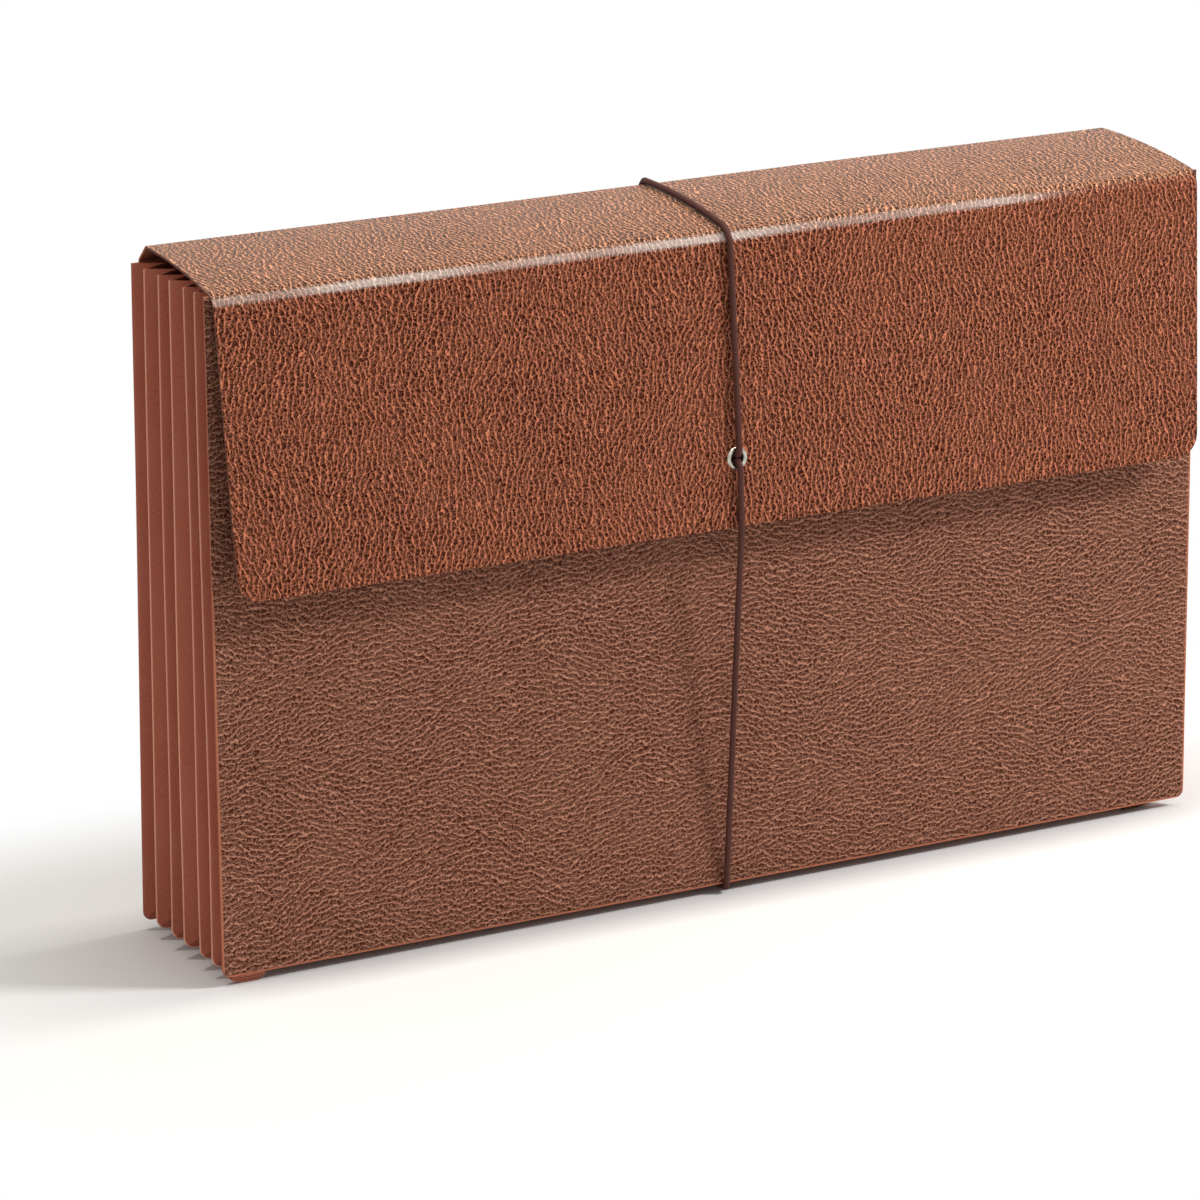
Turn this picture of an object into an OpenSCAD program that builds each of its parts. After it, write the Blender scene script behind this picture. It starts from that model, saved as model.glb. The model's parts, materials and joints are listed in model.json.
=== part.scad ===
// File wallet: a pleated paper pocket between two leather-grain boards, closed by a flap and an elastic cord.
// Millimetres. +X along the width, +Y to the back, +Z up, origin on the table under the middle of the wallet.

/* [Boards] */
// Width of the front and back panels
body_w = 381; // [300:1:420]
// Height of the front panel
body_h = 230; // [180:1:300]
// Depth over both panels as the wallet stands, pleats half open
depth = 58; // [30:1:90]
// Thickness of the leather-grain board
board_t = 0.8; // [0.5:0.1:1.2]
// Radius of the panels' bottom corners
panel_corner_r = 3; // [1:0.5:8]

/* [Gusset] */
// Width of one folded panel of the gusset, fold to fold
pleat_w = 11.1; // [9:0.1:14]
// Thickness of the gusset paper
paper_t = 0.4; // [0.3:0.05:0.5]
// Gap between neighbouring paper faces when pressed flat
fold_gap = 0.12; // [0.1:0.01:0.2]
// Radius of the rounded fold along each pleat
fold_r = 0.38; // [0.3:0.02:0.4]
// Radius of the pleats' outer bottom corners
pleat_corner_r = 4; // [2:0.5:6]
// Gap at the mitre between side and bottom pleats
mitre_gap = 0.2; // [0.1:0.05:0.4]
// Width of the gusset's glued end flange inside each panel
flange_w = 20; // [12:1:30]
// Length of a folded gusset corner under a panel
tuck_l = 15; // [8:1:25]
// Depth of a folded gusset corner
tuck_d = 3.4; // [2:0.1:3.6]
// Height of the folded corners, which hold the panels off the table
tuck_h = 3.2; // [3:0.1:5]

/* [Top and flap] */
// Height of the back crease above the gusset
back_rise = 6; // [5:0.5:12]
// How far the back sheet leans forward above the gusset
back_lean = 4.5; // [1:0.5:5]
// How far each side edge of the top stands in from the panels
top_inset = 4; // [0:0.5:6]
// Radius of the top's crown
crown_r = 260; // [150:10:600]
// Outer radius of the soft bend at the front
bend_r = 6; // [4:0.5:10]
// Length of the flap below the bend
flap_l = 97; // [60:1:140]
// Drop from the gusset's top to where the bend ends
bend_drop = 3; // [1:0.5:4]
// Gap between flap and front panel at the bend
flap_gap_top = 2.5; // [2:0.5:6]
// Gap between flap and front panel at the flap's lower edge
flap_gap_low = 10; // [8:0.5:16]
// How far each side edge of the flap runs in on its way down
flap_taper = 2; // [0:0.5:8]
// Radius of the flap's corners
flap_corner_r = 8; // [3:0.5:15]
// Gap between the two boards at a crease
crease_gap = 0.1; // [0.05:0.05:0.3]

/* [Closure] */
// Distance of the eyelet's centre above the flap's lower edge
eyelet_up = 23.5; // [15:0.5:40]
// Radius of the eyelet's rolled rim at the middle of its roll
rim_r = 3.1; // [3:0.1:4]
// Radius of the roll itself
roll_r = 0.6; // [0.4:0.05:0.7]
// Wall of the eyelet's barrel
barrel_t = 0.3; // [0.2:0.05:0.4]
// Diameter of the elastic cord
cord_d = 2.2; // [1.6:0.1:2.2]
// Gap between the cord and what it lies on
cord_gap = 0.2; // [0.1:0.05:0.3]
// Diameter of the knot behind the eyelet
knot_d = 5.6; // [5:0.2:6]
// Length of the knot
knot_l = 4.6; // [3:0.2:5]

/* [Hidden] */
$fn = 48;
// Two panels to a pleat; each pleat's share of the depth is uneven, as folded paper falls
pleat_shares = [1.02, 1.18, 0.92, 1.22, 0.88, 0.78];
pleats = len(pleat_shares);
folds = 2 * pleats;
fold_t = paper_t + fold_gap;
board_colour = [0.33, 0.17, 0.12];
paper_colour = [0.47, 0.24, 0.16];
tuck_colour = [0.76, 0.55, 0.42];
metal_colour = [0.75, 0.74, 0.72];
cord_colour = [0.13, 0.08, 0.06];

// Heights: table at 0, panels on the folded corners
panel_z = tuck_h;
gusset_z = panel_z + body_h;
crease_z = gusset_z + back_rise;

// The cord's middle line lies this far off the surface under it
cord_off = cord_d / 2 + cord_gap;
// Flap tilt, and how far flap and cord stand in front of the front panel
flap_tilt = atan((flap_gap_low - flap_gap_top) / flap_l);
front_reach = flap_gap_low + board_t + cord_off + cord_d / 2;
back_reach = cord_off + cord_d / 2;

// Outer faces of the panels, with the whole wallet centred on y = 0
front_y = -(depth + back_reach - front_reach) / 2;
back_y = front_y + depth;

// Fold axes: 0 at the back flange, odd ones inside, even ones outside, the last at the front flange
flange_t = paper_t + fold_gap / 2;
axis_inset = fold_r + fold_gap;
fold_space = depth - 2 * board_t - 2 * flange_t;
share_sum = pleat_shares * [for (s = pleat_shares) 1];
function pleat_of(j) = floor((j - 1) / 2);
function panel_step(j) = fold_space * pleat_shares[pleat_of(j)] / share_sum / 2;
function panel_angle(j) = asin(panel_step(j) / norm([pleat_w, fold_t])) - atan(fold_t / pleat_w);
function axis_y(j) = j == 0 ? back_y - board_t - flange_t : axis_y(j - 1) - panel_step(j);
function axis_in(j) = j % 2 == 0 ? 0 : pleat_w * cos(panel_angle(j)) - fold_t * sin(panel_angle(j));
side_axis_x = body_w / 2 - axis_inset;
base_axis_z = panel_z + axis_inset;

// Section of the sheet, as [y, z]: lean, back crease, crown, front bend and flap, all on the outer face
lean_start = [back_y, gusset_z + board_t];
back_crease = [back_y - back_lean, crease_z];
flap_start = [front_y - flap_gap_top - board_t, gusset_z - bend_drop];
flap_out = [-cos(flap_tilt), sin(flap_tilt)];
flap_down = [-sin(flap_tilt), -cos(flap_tilt)];
flap_end = flap_start + flap_l * flap_down;
bend_c = flap_start - bend_r * flap_out;
crown_c = lower_meeting(back_crease, crown_r, bend_c, crown_r - bend_r);
function angle_of(v) = atan2(v[1], v[0]);
crown_back_a = angle_of(back_crease - crown_c);
lean_a = angle_of(back_crease - lean_start) - 90;
crown_front_a = angle_of(bend_c - crown_c);
flap_a = angle_of(flap_out);
bend_mid_a = (crown_front_a + flap_a) / 2;
front_crease = bend_c + bend_r * toward(bend_mid_a);

top_w = body_w - 2 * top_inset;
eyelet_z = eyelet_up - flap_l;
strand_off = rim_r - roll_r - cord_off;
arc_steps = 6;
// Points of the cord nearer than this count as one
same_point = 0.02;
// Far enough to cut right through the bent sheet
sheet_reach = 3 * bend_r;

function toward(a) = [cos(a), sin(a)];
function arc(c, r, a0, a1, n = arc_steps) = [for (i = [0:n]) c + r * toward(a0 + (a1 - a0) * i / n)];
function reversed(list) = [for (i = [len(list) - 1:-1:0]) list[i]];
// The lower of the two points at ra from a and rb from b
function lower_meeting(a, ra, b, rb) =
    let (gap = b - a, l = norm(gap), along = (ra * ra - rb * rb + l * l) / (2 * l))
    let (across = sqrt(ra * ra - along * along), u = gap / l, left = [-u[1], u[0]])
    a + along * u + across * left * (left[1] < 0 ? 1 : -1);

// Inner corner of the sheet where its outer faces, with normals at a and b, meet in p
function inner_corner(p, a, b) = p - board_t * (toward(a) + toward(b)) / (1 + toward(a) * toward(b));

// Stands a section drawn in [y, z] up across the width w
module across(w) {
    rotate([90, 0, 90]) translate([0, 0, -w / 2]) linear_extrude(w) children();
}

// Stands an outline drawn in [x, z] up, from y to y - t
module upright(y, t) {
    translate([0, y, 0]) rotate([90, 0, 0]) linear_extrude(t) children();
}

// A panel's bottom edge with its round corners, as points from right to left
function panel_base(w, z, r) = concat(
    arc([w / 2 - r, z + r], r, 0, -90),
    arc([-w / 2 + r, z + r], r, -90, -180)
);

module back_panel() {
    color(board_colour) intersection() {
        upright(back_y, back_lean + board_t) polygon(concat(
            panel_base(body_w, panel_z, panel_corner_r),
            [[-body_w / 2, gusset_z], [-top_w / 2, crease_z], [top_w / 2, crease_z], [body_w / 2, gusset_z]]
        ));
        // leaning forward above the gusset, and mitred at the crease
        across(body_w) polygon([
            [back_y, panel_z], lean_start, back_crease,
            inner_corner(back_crease, lean_a, crown_back_a), inner_corner(lean_start, 0, lean_a),
            [back_y - board_t, panel_z]
        ]);
    }
}

module front_panel() {
    color(board_colour) upright(front_y + board_t, board_t) polygon(concat(
        panel_base(body_w, panel_z, panel_corner_r),
        [[-body_w / 2, gusset_z], [body_w / 2, gusset_z]]
    ));
}

// U-shaped flange whose outer edge stands in from the panel's edge
module flange(y, inset) {
    upright(y, paper_t) difference() {
        polygon(concat(
            panel_base(body_w - 2 * inset, panel_z + inset, pleat_corner_r),
            [[-body_w / 2 + inset, gusset_z], [body_w / 2 - inset, gusset_z]]
        ));
        inner_w = body_w - 2 * axis_inset - 2 * flange_w;
        translate([-inner_w / 2, base_axis_z + flange_w]) square([inner_w, body_h]);
    }
}

module back_flange() {
    color(paper_colour) {
        flange(back_y - board_t, axis_inset);
        for (side = [-1, 1])
            translate([side * side_axis_x, axis_y(0), base_axis_z + pleat_corner_r])
                cylinder(r = fold_r, h = gusset_z - base_axis_z - pleat_corner_r);
        base_fold(axis_y(0), base_axis_z, pleat_corner_r);
    }
}

module front_flange() {
    color(paper_colour) flange(axis_y(folds) - fold_gap / 2, axis_inset + fold_r + fold_gap);
}

// Rounded fold along a bottom pleat, standing in at both ends
module base_fold(y, z, inset) {
    l = 2 * (side_axis_x - inset);
    translate([-l / 2, y, z]) rotate([0, 90, 0]) cylinder(r = fold_r, h = l);
}

// Folded gusset corners under one panel, with their rounded noses to the middle
module corner_tucks(y) {
    color(tuck_colour) for (side = [0, 1]) mirror([side, 0, 0])
        translate([-body_w / 2 + panel_corner_r, y, 0]) linear_extrude(tuck_h)
            polygon(concat([[0, 0]], arc([tuck_l - tuck_d / 2, tuck_d / 2], tuck_d / 2, -90, 90), [[0, tuck_d]]));
}

module back_corner_tucks() { corner_tucks(back_y - tuck_d); }

module front_corner_tucks() { corner_tucks(front_y); }

// Where a panel begins and ends, measured from its outer fold: it keeps clear of the fold it starts at
start_gap = fold_r + fold_gap;
function outer_end(odd) = odd ? start_gap : 0;
function inner_end(odd) = odd ? pleat_w : pleat_w - start_gap;
// Mitred lower corner of a pleat, as [from outer fold, up from base fold]
function mitre(odd) = concat(
    [for (p = arc([pleat_corner_r, pleat_corner_r], pleat_corner_r, 180, 225))
        [max(p[0], outer_end(odd)), p[1] + mitre_gap]],
    [[inner_end(odd), inner_end(odd) + mitre_gap]]
);

// One side panel in its own plane: x from the fold it starts at, z up, the next fold along its far edge
module side_plate(odd) {
    from_start = odd ? [1, 0] : [-1, pleat_w];
    low = odd ? pleat_w + mitre_gap + fold_r : pleat_corner_r;
    top = gusset_z - base_axis_z;
    outline = concat(mitre(odd), [[inner_end(odd), top], [outer_end(odd), top]]);
    upright(-fold_gap / 2, paper_t)
        polygon([for (p = outline) [from_start[0] * p[0] + from_start[1], p[1]]]);
    translate([pleat_w, -fold_t, low]) cylinder(r = fold_r, h = top - low);
}

// Left gusset panel j, turned to its angle at the fold where it starts
module left_panel(j) {
    odd = j % 2 == 1;
    turn = odd ? -panel_angle(j) : panel_angle(j);
    translate([-side_axis_x + axis_in(j - 1), axis_y(j - 1), base_axis_z])
        rotate([0, 0, turn]) mirror([odd ? 0 : 1, 0, 0]) side_plate(odd);
}

module left_pleat(j) { color(paper_colour) left_panel(j); }

module right_pleat(j) { color(paper_colour) mirror([1, 0, 0]) left_panel(j); }

// One bottom panel in its own plane: z from the fold it starts at, mitred at both ends
module bottom_plate(odd) {
    from_start = odd ? [1, 0] : [-1, pleat_w];
    half = [for (p = mitre(odd)) [side_axis_x - p[1], from_start[0] * p[0] + from_start[1]]];
    upright(-fold_gap / 2, paper_t)
        polygon(concat(half, [for (p = reversed(half)) [-p[0], p[1]]]));
    base_fold(-fold_t, pleat_w, odd ? pleat_w + mitre_gap + fold_r : pleat_corner_r);
}

module bottom_pleat(j) {
    odd = j % 2 == 1;
    turn = odd ? panel_angle(j) : -panel_angle(j);
    color(paper_colour) translate([0, axis_y(j - 1), base_axis_z + axis_in(j - 1)])
        rotate([turn, 0, 0]) mirror([0, 0, odd ? 0 : 1]) bottom_plate(odd);
}

// Crowned top from the back crease to the middle of the front bend
module top_panel() {
    inner_r = crown_r - board_t;
    inner_back = inner_corner(back_crease, lean_a, crown_back_a) - [crease_gap, 0];
    inner_back_a = angle_of(inner_back - crown_c);
    color(board_colour) across(top_w) polygon(concat(
        arc(crown_c, crown_r, crown_back_a, crown_front_a),
        arc(bend_c, bend_r, crown_front_a, bend_mid_a),
        arc(bend_c, bend_r - board_t, bend_mid_a, crown_front_a),
        arc(crown_c, inner_r, crown_front_a, inner_back_a)
    ));
}

// The flap's own frame: x along the width, y = 0 on its outer face, z = 0 where the bend ends
module on_flap() {
    translate([0, flap_start[0], flap_start[1]]) rotate([-flap_tilt, 0, 0]) children();
}

module flap_outline() {
    low_w = top_w - 2 * flap_taper;
    r = flap_corner_r;
    polygon(concat(
        [[top_w / 2, sheet_reach], [top_w / 2, 0]],
        arc([low_w / 2 - r, r - flap_l], r, 0, -90),
        arc([r - low_w / 2, r - flap_l], r, -90, -180),
        [[-top_w / 2, 0], [-top_w / 2, sheet_reach]]
    ));
}

module flap_panel() {
    gap_a = crease_gap / bend_r * 180 / PI;
    color(board_colour) difference() {
        intersection() {
            across(top_w) polygon(concat(
                arc(bend_c, bend_r, bend_mid_a, flap_a), [flap_end, flap_end - board_t * flap_out],
                arc(bend_c, bend_r - board_t, flap_a, bend_mid_a + gap_a)
            ));
            on_flap() upright(sheet_reach, 2 * sheet_reach) flap_outline();
        }
        on_flap() translate([0, -sheet_reach / 2, eyelet_z]) rotate([-90, 0, 0])
            cylinder(r = rim_r - roll_r + barrel_t + crease_gap / 2, h = sheet_reach);
    }
}

// Rolled rim in front, barrel through the board, flared curl behind
module eyelet() {
    bore_r = rim_r - roll_r;
    color(metal_colour) on_flap() translate([0, 0, eyelet_z]) rotate([-90, 0, 0]) {
        rotate_extrude() {
            intersection() {
                translate([rim_r, 0]) circle(roll_r);
                translate([bore_r, -roll_r]) square([2 * roll_r, roll_r]);
            }
            translate([bore_r, -roll_r / 2]) square([barrel_t, board_t + roll_r / 2]);
            intersection() {
                translate([rim_r, board_t]) circle(roll_r);
                translate([bore_r, board_t]) square([2 * roll_r, roll_r]);
            }
        }
    }
}

// From the flap's own [y, z] to the wallet's
function off_flap(p) = flap_start - p[0] * flap_out - p[1] * flap_down;

// The cord's middle line as arcs [centre, radius, first normal, last normal, steps], once round from the eyelet
front_foot = [front_y, panel_z];
low_line = front_foot - flap_end;
low_a = angle_of([low_line[1], -low_line[0]]);
cord_arcs = [
    [off_flap([0, eyelet_z + rim_r]), roll_r + cord_off, 270 - flap_tilt, flap_a, 4],
    [bend_c, bend_r + cord_off, flap_a, crown_front_a, 5],
    [crown_c, crown_r + cord_off, crown_front_a, crown_back_a, 6],
    [back_crease, cord_off, crown_back_a, lean_a, 2],
    [lean_start, cord_off, lean_a, 0, 2],
    [[back_y, panel_z], cord_off, 0, -90, 3],
    [front_foot, cord_off, -90, low_a, 3],
    [flap_end, cord_off, low_a + 360, flap_a, 1],
    [off_flap([0, eyelet_z - rim_r]), roll_r + cord_off, flap_a, 90 - flap_tilt, 4]
];
knot_y = board_t + roll_r;
cord_points = concat(
    [off_flap([knot_y, eyelet_z + strand_off])],
    [for (a = cord_arcs) each arc(a[0], a[1], a[2], a[3], a[4])],
    [off_flap([knot_y, eyelet_z - strand_off])]
);
cord_line = [for (i = [0:len(cord_points) - 1])
    if (i == 0 || norm(cord_points[i] - cord_points[i - 1]) > same_point) cord_points[i]];

// Tube along points in the [y, z] plane, with a ring square to the line at each point
module tube(line, d, sides = 8) {
    n = len(line);
    function along(i) = line[min(i + 1, n - 1)] - line[max(i - 1, 0)];
    rings = [for (i = [0:n - 1])
        let (t = along(i) / norm(along(i)))
        for (k = [0:sides - 1])
            let (p = line[i] + d / 2 * sin(360 * k / sides) * [-t[1], t[0]])
            [d / 2 * cos(360 * k / sides), p[0], p[1]]];
    function at(i, k) = i * sides + k % sides;
    walls = [for (i = [0:n - 2], k = [0:sides - 1])
        each [[at(i, k), at(i, k + 1), at(i + 1, k)], [at(i, k + 1), at(i + 1, k + 1), at(i + 1, k)]]];
    ends = [for (k = [1:sides - 2])
        each [[0, at(0, k + 1), at(0, k)], [at(n - 1, 0), at(n - 1, k), at(n - 1, k + 1)]]];
    polyhedron(rings, concat(walls, ends));
}

module elastic_cord() { color(cord_colour) tube(cord_line, cord_d); }

// Both cord ends tied off, flat where they come out of the eyelet
module cord_knot() {
    color(cord_colour) on_flap() translate([0, knot_y, eyelet_z]) rotate([-90, 0, 0]) rotate_extrude()
        intersection() {
            translate([knot_d / 2 - knot_l / 2, knot_l / 2]) circle(knot_l / 2);
            square([knot_d, knot_l]);
        }
}

back_panel();
back_flange();
back_corner_tucks();
front_panel();
front_flange();
front_corner_tucks();
top_panel();
flap_panel();
eyelet();
elastic_cord();
cord_knot();
for (j = [1:folds]) left_pleat(j);
for (j = [1:folds]) right_pleat(j);
for (j = [1:folds]) bottom_pleat(j);
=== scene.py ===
"""File wallet: leather-grain boards, a pleated paper gusset, and an elastic cord through an eyelet.

Lengths are in millimetres until a mesh is made, and a section is drawn as (y, z). The floor, the lamps and
the camera are placed in metres.
"""

import json
import math

import bmesh
import bpy
import numpy as np
from mathutils import Matrix, Vector


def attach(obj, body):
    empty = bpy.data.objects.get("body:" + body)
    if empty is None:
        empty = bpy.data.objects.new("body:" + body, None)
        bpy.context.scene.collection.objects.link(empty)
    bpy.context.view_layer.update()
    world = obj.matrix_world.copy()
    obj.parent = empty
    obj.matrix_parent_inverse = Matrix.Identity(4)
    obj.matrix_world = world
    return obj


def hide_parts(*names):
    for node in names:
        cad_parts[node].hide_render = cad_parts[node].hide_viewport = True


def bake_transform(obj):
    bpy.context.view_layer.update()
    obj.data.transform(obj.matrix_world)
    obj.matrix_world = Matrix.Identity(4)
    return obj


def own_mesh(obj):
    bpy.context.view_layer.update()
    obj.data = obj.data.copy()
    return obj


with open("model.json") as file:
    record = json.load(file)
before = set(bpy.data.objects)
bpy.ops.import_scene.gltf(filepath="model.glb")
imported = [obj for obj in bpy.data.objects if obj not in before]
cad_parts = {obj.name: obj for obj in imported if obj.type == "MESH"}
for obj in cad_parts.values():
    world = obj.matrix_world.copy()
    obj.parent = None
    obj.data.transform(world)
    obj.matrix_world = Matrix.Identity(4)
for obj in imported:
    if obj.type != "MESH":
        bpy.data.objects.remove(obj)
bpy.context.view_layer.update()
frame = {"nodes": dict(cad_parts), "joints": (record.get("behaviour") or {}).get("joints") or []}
joints = {j["name"]: j for j in frame["joints"]}

MM = 0.001
# Edges that turn by more than this are shaded sharp
SHARP = math.radians(38)

# Boards
BODY_W = 381.0
DEPTH = 58.0
BOARD_T = 0.8
PANEL_CORNER_R = 3.0
PANEL_Z = 3.2
GUSSET_Z = 233.2
PANEL_H = GUSSET_Z - PANEL_Z
FRONT_Y = -23.6
BACK_Y = FRONT_Y + DEPTH
# The back board ends just inside the gusset's folds, and is cut in near its top
BACK_SETBACK = 0.9
BACK_CUT = 2.5
BACK_CUT_H = 18.0
# How much deeper the standing wallet is at the table than at its top, and a cap on its share behind the back
FOOT_SPREAD = 8.0
MOST_SPREAD = 1.2
# Columns across a board, and its closer ones near an edge as shares of the half width
BOARD_COLUMNS = 49
EDGE_COLUMNS = np.array([0.992, 0.9975])
# Rows up a board: the height of the first plain one, and how many there are
PLAIN_FROM = 12.0
FRONT_ROWS = 30
BACK_ROWS = 22
# Distances from the back's top to its last plain row, and to the rows above that
PLAIN_TO = 20.0
CUT_ROWS = (16.0, 12.0, 8.0, 5.0, 2.0, 0.0)
# A board sways in slow waves, with lengths per radian, and less within a distance of its middle
WAVE_X = (61.0, 130.0)
WAVE_RUN = (47.0, 83.0)
WAVE_PHASE = 1.3
CALM_W = 60.0
SWAY = 0.2
FRONT_SWAY = 0.15
# The front's edges are kept from wear under the flap, and are left darker there as painted shade from the
# flap: what is added to their distance, and its fade
KEPT_AND_SHADED = 2.0
KEPT_AND_SHADED_FADE = 12.0

# Top and flap
BACK_RISE = 6.0
BACK_LEAN = 4.5
CREASE_W = 373.0
TOP_W = 377.0
CROWN_R = 260.0
CROWN_STEPS = 16
BEND_R = 6.0
BEND_DROP = 4.5
BEND_STEPS = 16
FLAP_L = 95.5
FLAP_GAP_TOP = 2.5
FLAP_GAP_LOW = 10.0
FLAP_TAPER = 2.4
FLAP_CORNER_R = 8.0
FLAP_ROWS = 22
FLAP_PLAIN_TO = 14.0
# Steps of the bend between which its painted highlight comes and goes, and how it fades out to the right
HIGHLIGHT_IN = (3, 8)
HIGHLIGHT_OUT = (11, 15)
HIGHLIGHT_END = 165.0
HIGHLIGHT_FADE = 60.0
HIGHLIGHT_LEAST = 0.25

# Gusset
PAPER_T = 0.4
PLEAT_CORNER_R = 4.0
FLANGE_W = 20.0
PLEATS = 6
# How far the cord presses the folds in where it passes under them, and the dent's half width
CORD_DENT = 2.4
DENT_W = 4.0
# How far the runs that end open stand off the front
OPEN_GAP = 0.5
# Distance from a fold that is past any lighter line along it
PAST_FOLD_LINE = 5.0
# A fold wanders in slow waves, as (in from the outer folds, y) with lengths per radian, and less near its
# ends. The last fold stays straight
WANDER = np.array([0.16, 0.22])
WANDER_L = np.array([37.0, 53.0])
WANDER_PHASE = np.array([1.7, 2.6])
CALM_END = 40.0
# Rows along a pleat: distances from its end near the mitre, the first plain one, and how many are plain
MITRE_ROWS = [1.5, 1.9, 2.4, 3.0, 4.0, 5.5, 7.5, 9.2, 10.4, 11.2, 13.0, 16.0, 20.0]
PLEAT_PLAIN_FROM = 30.0
SIDE_ROWS = 22
BOTTOM_ROWS = 13
# Distances from the cord to the rows near it, and from the cord to the last plain row
CORD_ROWS = [-8.0, -6.0, -4.5, -3.0, -1.5, 0.0, 1.5, 3.0, 4.5, 6.0, 8.0]
CORD_SPACE = 12.0
# Columns of a panel, as shares of the way from its outer fold to its inner one
PANEL_COLUMNS = [0.03, 0.08, 0.2, 0.4, 0.6, 0.8, 1.0]
# Distance between two pieces of a run on the paper's map, so that neighbours differ
PAPER_SHIFT = 31.0

# Corner tucks
TUCK_L = 12.5
TUCK_D = 3.4
TUCK_H = 3.2
TUCK_T = 0.9
TUCK_ROWS = 6
# How far the lowest fold of a tuck lies behind its highest
TUCK_STEP = 1.4
# Length over which a tuck thins towards the corner
TUCK_TAPER = 6.0
# The front's left tuck shows. The others lie further in, and the front's right one also further back
TUCK_BACK = 3.2
TUCK_IN = 8.0

# Closure
EYELET_UP = 23.5
RIM_R = 3.1
ROLL_R = 0.6
ROLL_W = 0.8
BARREL_T = 0.3
HOLE_R = RIM_R - ROLL_R + BARREL_T
CORD_D = 2.2
CORD_GAP = 0.2
# Distance between the points of the cord's line
CORD_STEP = 0.7
# Strands each way, their height as a share of the radius, and the radians they turn in a millimetre
STRANDS = 6
STRAND_LIFT = 0.045
STRAND_TURN = 5.7
KNOT_L = 4.6
# The knot's strand winds twice round a ring and three times about the ring's own line
KNOT_STRAND_R = 0.98
KNOT_RING_R = 1.55
KNOT_SWING = 0.55
KNOT_DEPTH = 1.15
KNOT_POINTS = 180

# Leather grain: spacing of the creases, how far they are shaken and over what length, the length of their
# drift, the sizes of beads and grit, and the height of the embossing
GRAIN = 1.95
SHAKE = 1.9
SHAKE_L = 1.7
DRIFT_L = 34.0
BEAD = 0.75
GRIT = 0.4
EMBOSS = 0.22
# Length of cord in which the weave's colour comes again
BRAID_PITCH = 1.1

# Stage, in metres: the floor fades into plain white between two distances from the wallet
FLOOR_HALF = 4.0
FLOOR_Z = -0.0002
FADE_FROM = 0.06
FADE_TO = 0.15
CAMERA_PLACE = (-0.9186, -1.6197, 0.6437)
# Yaw, pitch and roll in degrees
CAMERA_TURN = (28.61, 16.30, -0.49)


def toward(degrees):
    """Unit vector at that angle in a section."""
    return np.array([math.cos(math.radians(degrees)), math.sin(math.radians(degrees))])


def angle_of(v):
    """Angle of a section vector in degrees."""
    return math.degrees(math.atan2(v[1], v[0]))


def arc(centre, radius, first, last, steps):
    """Points along an arc from one angle to another."""
    return [centre + radius * toward(first + (last - first) * i / steps) for i in range(steps + 1)]


def run_along(points):
    """Length along a line up to each of its points."""
    steps = np.linalg.norm(np.diff(points, axis=0), axis=1)
    return np.concatenate([[0], np.cumsum(steps)])


def left_normals(lines):
    """Unit normals on the left of one section line, or of several."""
    along = np.gradient(lines, axis=-2)
    along /= np.maximum(np.linalg.norm(along, axis=-1), 1e-6)[..., None]
    return np.stack([-along[..., 1], along[..., 0]], axis=-1)


def lower_meeting(a, ra, b, rb):
    """The lower of the two points at ra from a and rb from b."""
    gap = b - a
    length = np.linalg.norm(gap)
    along = (ra * ra - rb * rb + length * length) / (2 * length)
    across = math.sqrt(ra * ra - along * along)
    u = gap / length
    left = np.array([-u[1], u[0]])
    return a + along * u + across * left * (1 if left[1] < 0 else -1)


def inner_corner(p, a, b):
    """Inner corner of the board where its outer faces, with normals at a and b, meet in p."""
    na, nb = toward(a), toward(b)
    return p - BOARD_T * (na + nb) / (1 + na @ nb)


def spread(y, z):
    """y with the wallet's back standing out towards its foot."""
    share = np.clip((np.asarray(y) - FRONT_Y) / DEPTH, 0, MOST_SPREAD)
    return y + share * FOOT_SPREAD * np.clip(1 - np.asarray(z) / GUSSET_Z, 0, 1)


# Section of the sheet: lean, back crease, crown, front bend and flap, all on the outer face
flap_tilt = math.degrees(math.atan((FLAP_GAP_LOW - FLAP_GAP_TOP) / FLAP_L))
lean_start = np.array([BACK_Y, GUSSET_Z + BOARD_T])
back_crease = np.array([BACK_Y - BACK_LEAN, GUSSET_Z + BACK_RISE])
flap_start = np.array([FRONT_Y - FLAP_GAP_TOP - BOARD_T, GUSSET_Z - BEND_DROP])
flap_out = toward(180 - flap_tilt)
flap_down = toward(270 - flap_tilt)
flap_end = flap_start + FLAP_L * flap_down
bend_c = flap_start - BEND_R * flap_out
crown_c = lower_meeting(back_crease, CROWN_R, bend_c, CROWN_R - BEND_R)
crown_back_a = angle_of(back_crease - crown_c)
crown_front_a = angle_of(bend_c - crown_c)
lean_a = angle_of(back_crease - lean_start) - 90
flap_a = 180 - flap_tilt
inner_crease = inner_corner(back_crease, lean_a, crown_back_a)
eyelet_below = FLAP_L - EYELET_UP


def off_flap(behind, below):
    """Section point that far behind the flap's outer face and below the end of the bend."""
    return flap_start - behind * flap_out + below * flap_down


# Meshes


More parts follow.
